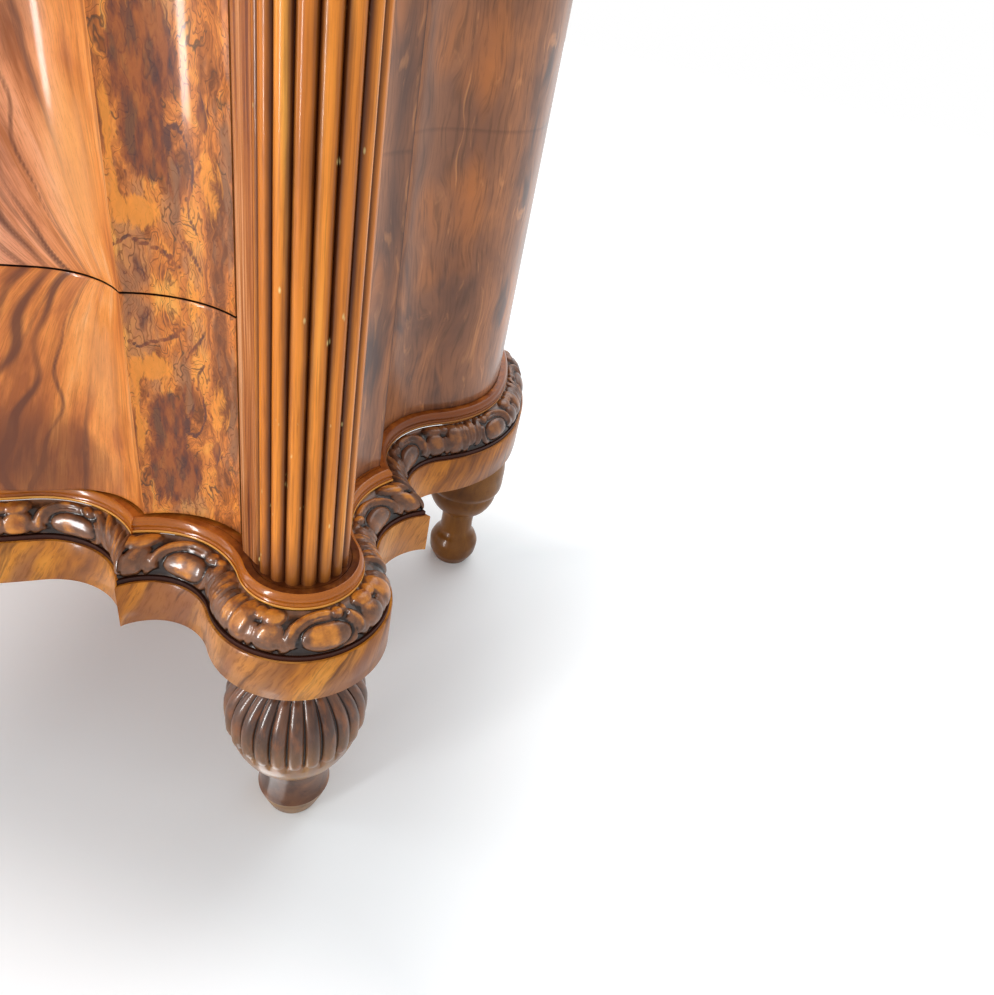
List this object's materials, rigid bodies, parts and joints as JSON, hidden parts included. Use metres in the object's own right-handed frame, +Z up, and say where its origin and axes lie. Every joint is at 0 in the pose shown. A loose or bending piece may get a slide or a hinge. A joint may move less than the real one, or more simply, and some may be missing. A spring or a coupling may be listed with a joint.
{
  "type": "chest of drawers",
  "caption": "Serpentine commode with shaped drawers, reeded corner columns, a carved base moulding and turned gadrooned feet.",
  "frame": {"origin": "floor level, under the middle of the overall box", "axes": "+Z up, +Y towards the back, +X to the right of someone facing the front"},
  "size_m": [1.2172, 0.615, 0.879],
  "materials": {
    "foot_walnut": "polished, dark",
    "band_veneer": "polished veneer",
    "carved_walnut": "carved, waxed, worn on the highs",
    "moulding_walnut": "polished",
    "reed_walnut": "polished",
    "strip_walnut": "polished",
    "side_veneer": "polished veneer, vertical figure",
    "top_veneer": "polished veneer",
    "front_veneer": "polished burr and crotch veneer",
    "knob_walnut": "polished",
    "drawer_oak": "planed, unpolished",
    "carcass_pine": "planed, unpolished"
  },
  "bodies": {
    "carcass": {"front_foot_left": "foot_walnut", "front_foot_right": "foot_walnut", "rear_foot_left": "foot_walnut", "rear_foot_right": "foot_walnut", "plinth_front": "band_veneer", "plinth_left": "band_veneer", "plinth_right": "band_veneer", "plinth_back": "carcass_pine", "corner_block_left": "band_veneer", "corner_block_right": "band_veneer", "rear_block_left": "band_veneer", "rear_block_right": "band_veneer", "carving_front": "carved_walnut", "carving_corner_left": "carved_walnut", "carving_corner_right": "carved_walnut", "carving_left": "carved_walnut", "carving_right": "carved_walnut", "astragal_front": "moulding_walnut", "astragal_corner_left": "moulding_walnut", "astragal_corner_right": "moulding_walnut", "astragal_left": "moulding_walnut", "astragal_right": "moulding_walnut", "deck": "moulding_walnut", "side_panel_left": "side_veneer", "side_panel_right": "side_veneer", "corner_post_left": "strip_walnut", "corner_post_right": "strip_walnut", "column_left": "reed_walnut", "column_right": "reed_walnut", "rear_posts": "carcass_pine", "back_panel": "carcass_pine", "top_rail_front": "carcass_pine", "top_rail_back": "carcass_pine", "divider_lower": "carcass_pine", "divider_upper": "carcass_pine", "runners": "carcass_pine", "guides": "carcass_pine", "dust_board_lower": "carcass_pine", "dust_board_upper": "carcass_pine", "drawer_stops": "carcass_pine", "top": "top_veneer"},
    "drawer_1": {"drawer_1_front": "front_veneer", "drawer_1_left": "drawer_oak", "drawer_1_right": "drawer_oak", "drawer_1_back": "drawer_oak", "drawer_1_bottom": "drawer_oak", "drawer_1_knobs": "knob_walnut"},
    "drawer_2": {"drawer_2_front": "front_veneer", "drawer_2_left": "drawer_oak", "drawer_2_right": "drawer_oak", "drawer_2_back": "drawer_oak", "drawer_2_bottom": "drawer_oak", "drawer_2_knobs": "knob_walnut"},
    "drawer_3": {"drawer_3_front": "front_veneer", "drawer_3_left": "drawer_oak", "drawer_3_right": "drawer_oak", "drawer_3_back": "drawer_oak", "drawer_3_bottom": "drawer_oak", "drawer_3_knobs": "knob_walnut"}
  },
  "joints": [
    {"name": "drawer_1_slide", "type": "slide", "parent": "carcass", "child": "drawer_1", "axis": [0, -1, 0], "range_m": [0, 0.32]},
    {"name": "drawer_2_slide", "type": "slide", "parent": "carcass", "child": "drawer_2", "axis": [0, -1, 0], "range_m": [0, 0.32]},
    {"name": "drawer_3_slide", "type": "slide", "parent": "carcass", "child": "drawer_3", "axis": [0, -1, 0], "range_m": [0, 0.32]}
  ]
}
